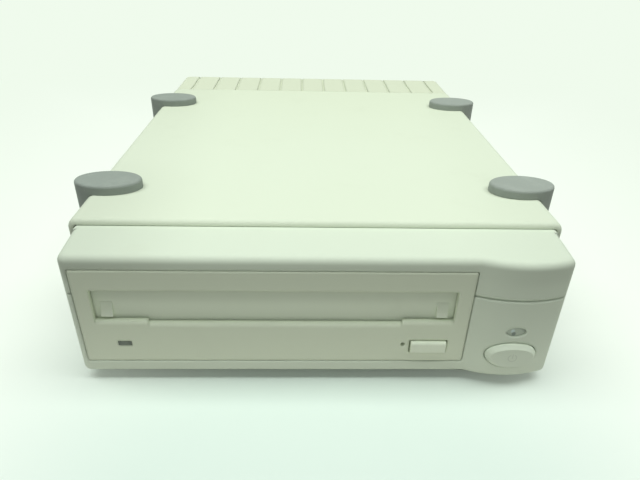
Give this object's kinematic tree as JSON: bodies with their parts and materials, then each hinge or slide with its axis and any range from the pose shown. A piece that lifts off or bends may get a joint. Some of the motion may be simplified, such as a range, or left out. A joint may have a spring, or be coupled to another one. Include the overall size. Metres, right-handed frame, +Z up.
{
  "type": "external magneto-optical disk drive",
  "caption": "Desktop magneto-optical disk drive lying flat: moulded case with a cartridge slot, a bulged panel with an oval power button, oval wrap-around feet and a grooved rear bezel.",
  "frame": {"origin": "on the surface the feet stand on, under the middle of the overall box", "axes": "+X to the right as seen from the front, +Y from the front to the back, +Z up"},
  "size_m": [0.2072, 0.2606, 0.0645],
  "materials": {
    "case_plastic": "fine moulded grain",
    "foot_rubber": "matt",
    "sheet_steel": "zinc plated",
    "fastener_steel": "satin",
    "alloy": "satin",
    "yoke_iron": "satin",
    "dark_plastic": "satin",
    "dial_plastic": "satin",
    "board_laminate": "satin",
    "lens_smoke": "gloss",
    "lens_glass": "polished",
    "winding_copper": "enamelled",
    "contact_brass": "satin",
    "cable_sleeve": "satin",
    "bush_rubber": "matt"
  },
  "bodies": {
    "case": {"front_bezel": "case_plastic", "top_cover": "case_plastic", "rear_bezel": "case_plastic", "drive_faceplate": "case_plastic", "foot_front_left": "foot_rubber", "foot_front_right": "foot_rubber", "foot_rear_left": "foot_rubber", "foot_rear_right": "foot_rubber", "base_pan": "sheet_steel", "rear_panel": "sheet_steel", "drive_chassis": "sheet_steel", "drive_cover": "sheet_steel", "drive_screws": "fastener_steel", "case_screws": "fastener_steel", "panel_screws": "fastener_steel", "fan_screws": "fastener_steel", "guide_rails": "fastener_steel", "loading_motor": "fastener_steel", "spindle_motor": "fastener_steel", "optics_block": "alloy", "supply_heatsink": "alloy", "supply_capacitor": "alloy", "bus_port_upper": "alloy", "bus_port_lower": "alloy", "coil_yokes": "yoke_iron", "supply_transformer": "yoke_iron", "power_switch": "dark_plastic", "mains_inlet": "dark_plastic", "fan_frame": "dark_plastic", "id_switch": "dark_plastic", "power_led_board": "board_laminate", "eject_switch_board": "board_laminate", "activity_led_board": "board_laminate", "drive_board": "board_laminate", "supply_board": "board_laminate", "power_lens": "lens_smoke", "activity_lens": "lens_smoke", "inlet_pins": "contact_brass", "ribbon_cable": "cable_sleeve", "supply_lead": "cable_sleeve", "mains_leads": "cable_sleeve", "drive_bushes": "bush_rubber"},
    "power_key": {"power_button": "case_plastic"},
    "eject_key": {"eject_button": "case_plastic"},
    "door": {"slot_door": "case_plastic", "door_spring": "fastener_steel"},
    "spindle": {"turntable": "fastener_steel"},
    "head": {"head_carriage": "alloy", "carriage_coils": "winding_copper", "objective_lens": "lens_glass"},
    "slider": {"slider_bridge": "sheet_steel", "slider_left": "sheet_steel", "slider_right": "sheet_steel"},
    "holder": {"cartridge_holder": "sheet_steel", "bias_coil": "winding_copper"},
    "gear": {"loading_gear": "dial_plastic"},
    "pinion": {"motor_pinion": "contact_brass"},
    "fan": {"fan_rotor": "dark_plastic"},
    "dial": {"id_dial": "dial_plastic"}
  },
  "joints": [
    {"name": "power_press", "type": "slide", "parent": "case", "child": "power_key", "axis": [0, 1, 0], "range_m": [0, 0.003], "stiffness_N_per_m": 500, "springref_m": -0.002},
    {"name": "eject_press", "type": "slide", "parent": "case", "child": "eject_key", "axis": [0, 1, 0], "range_m": [0, 0.0012], "stiffness_N_per_m": 700, "springref_m": -0.001},
    {"name": "door_swing", "type": "hinge", "parent": "case", "child": "door", "pos_m": [-0.016, -0.12085, 0.0463], "axis": [1, 0, 0], "range_deg": [0, 85], "stiffness_Nm_per_rad": 0.002, "springref_deg": -28.65},
    {"name": "spindle_turn", "type": "hinge", "parent": "case", "child": "spindle", "pos_m": [-0.016, -0.03415, 0.03], "axis": [0, 0, 1], "continuous": true},
    {"name": "head_seek", "type": "slide", "parent": "case", "child": "head", "axis": [0, 1, 0], "range_m": [0, 0.03]},
    {"name": "slider_load", "type": "slide", "parent": "case", "child": "slider", "axis": [0, 1, 0], "range_m": [-0.014, 0]},
    {"name": "holder_sink", "type": "slide", "parent": "case", "child": "holder", "axis": [0, 0, 1], "range_m": [-0.005, 0]},
    {"name": "gear_turn", "type": "hinge", "parent": "case", "child": "gear", "pos_m": [0.019, 0.04985, 0.021], "axis": [0, 0, 1], "range_deg": [-143.3, 0]},
    {"name": "pinion_turn", "type": "hinge", "parent": "case", "child": "pinion", "pos_m": [0.019, 0.06665, 0.021], "axis": [0, 0, 1], "range_deg": [0, 429.8]},
    {"name": "fan_turn", "type": "hinge", "parent": "case", "child": "fan", "pos_m": [0.0348, 0.11735, 0.03225], "axis": [0, 1, 0], "continuous": true},
    {"name": "dial_turn", "type": "hinge", "parent": "case", "child": "dial", "pos_m": [-0.078, 0.12435, 0.03225], "axis": [0, 1, 0], "range_deg": [0, 315]}
  ],
  "couplings": [
    {"joint": "holder_sink", "follows": "slider_load", "ratio": 0.35714},
    {"joint": "gear_turn", "follows": "slider_load", "rad_per_m": 178.57},
    {"joint": "pinion_turn", "follows": "slider_load", "rad_per_m": -535.71}
  ]
}
